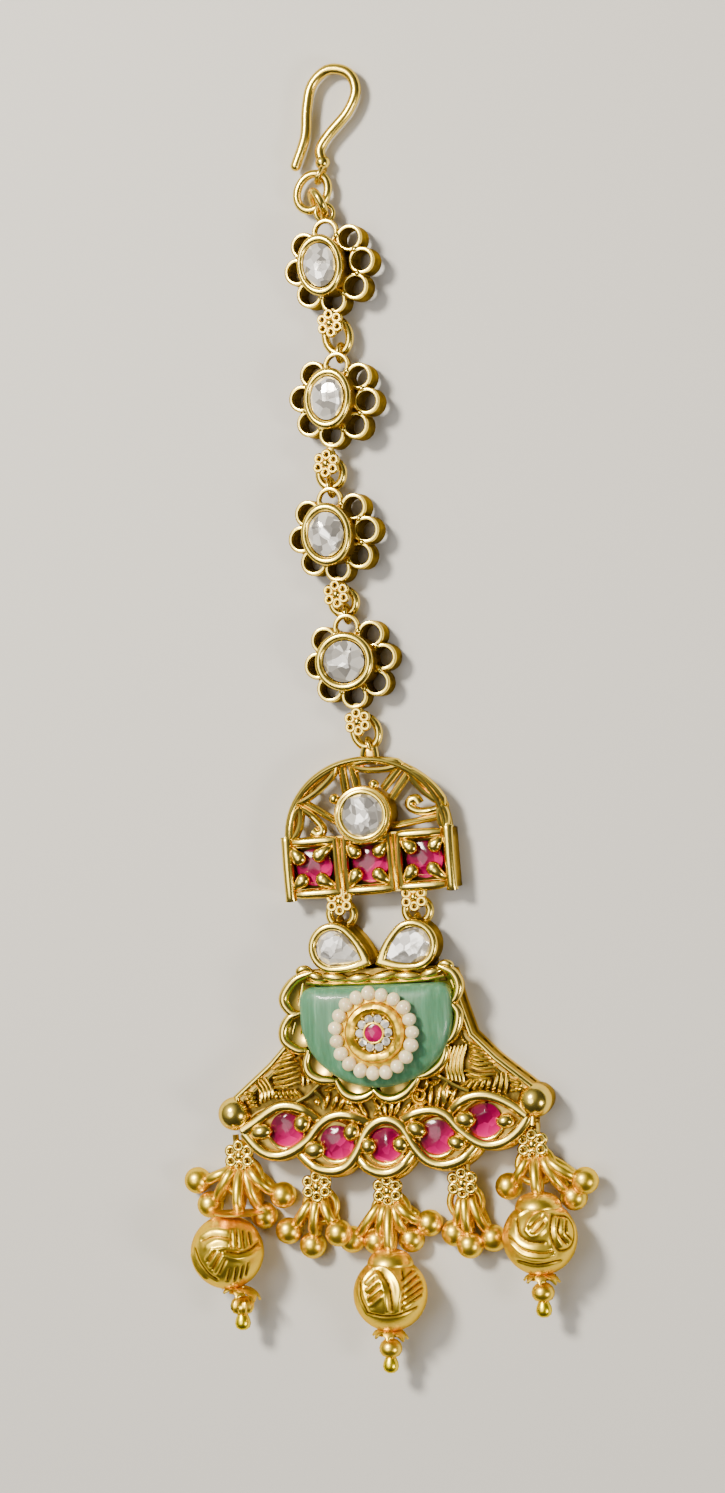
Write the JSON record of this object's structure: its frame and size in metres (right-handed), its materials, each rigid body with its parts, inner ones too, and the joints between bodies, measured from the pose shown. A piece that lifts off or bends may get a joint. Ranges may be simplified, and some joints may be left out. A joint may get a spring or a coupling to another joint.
{
  "type": "bindi head jewel",
  "caption": "Long forehead jewel with a hair hook, flower links, a pierced crest and a fan pendant with stones, a ribbon border and gold bead drops.",
  "frame": {"origin": "middle of the box's footprint, on the surface that the jewel lies on", "axes": "+Y along the chain towards the hair hook, +Z out of the jewel's face, +X to the wearer's left"},
  "size_m": [0.049, 0.1502, 0.0092],
  "materials": {
    "antique_gold": "antiqued, bright on the high parts and dark in the recesses",
    "satin_gold": "satin with polished tips",
    "ruby": "polished, faceted",
    "polki": "polished, uncut, backed with silver foil",
    "green_stone": "polished, translucent with fine fibres",
    "pearl": "lustrous"
  },
  "bodies": {
    "root": {"hook": "antique_gold", "hook_ring_upper": "antique_gold", "hook_ring_lower": "antique_gold", "flower_1": "antique_gold", "flower_2": "antique_gold", "flower_3": "antique_gold", "flower_4": "antique_gold", "flower_stone_1": "polki", "flower_stone_2": "polki", "flower_stone_3": "polki", "flower_stone_4": "polki", "link_ring_1": "antique_gold", "link_ring_2": "antique_gold", "link_ring_3": "antique_gold", "link_ring_4": "antique_gold", "crest": "antique_gold", "crest_stone": "polki", "crest_ruby_1": "ruby", "crest_ruby_2": "ruby", "crest_ruby_3": "ruby", "fan_ring_left": "antique_gold", "fan_ring_right": "antique_gold", "fan": "antique_gold", "pear_stone_left": "polki", "pear_stone_right": "polki", "green_stone": "green_stone", "pearl_rosette": "pearl", "border_ruby_1": "ruby", "border_ruby_2": "ruby", "border_ruby_3": "ruby", "border_ruby_4": "ruby", "border_ruby_5": "ruby", "spray_ring_1": "satin_gold", "strand_1_1": "satin_gold", "strand_1_2": "satin_gold", "strand_1_3": "satin_gold", "strand_1_4": "satin_gold", "spray_ring_2": "satin_gold", "strand_2_1": "satin_gold", "strand_2_2": "satin_gold", "strand_2_3": "satin_gold", "spray_ring_3": "satin_gold", "strand_3_1": "satin_gold", "strand_3_2": "satin_gold", "strand_3_3": "satin_gold", "strand_3_4": "satin_gold", "spray_ring_4": "satin_gold", "strand_4_1": "satin_gold", "strand_4_2": "satin_gold", "strand_4_3": "satin_gold", "spray_ring_5": "satin_gold", "strand_5_1": "satin_gold", "strand_5_2": "satin_gold", "strand_5_3": "satin_gold", "leaf_bead_1": "satin_gold", "drop_foot_1": "satin_gold", "leaf_bead_2": "satin_gold", "drop_foot_2": "satin_gold", "leaf_bead_3": "satin_gold", "drop_foot_3": "satin_gold"}
  },
  "joints": []
}
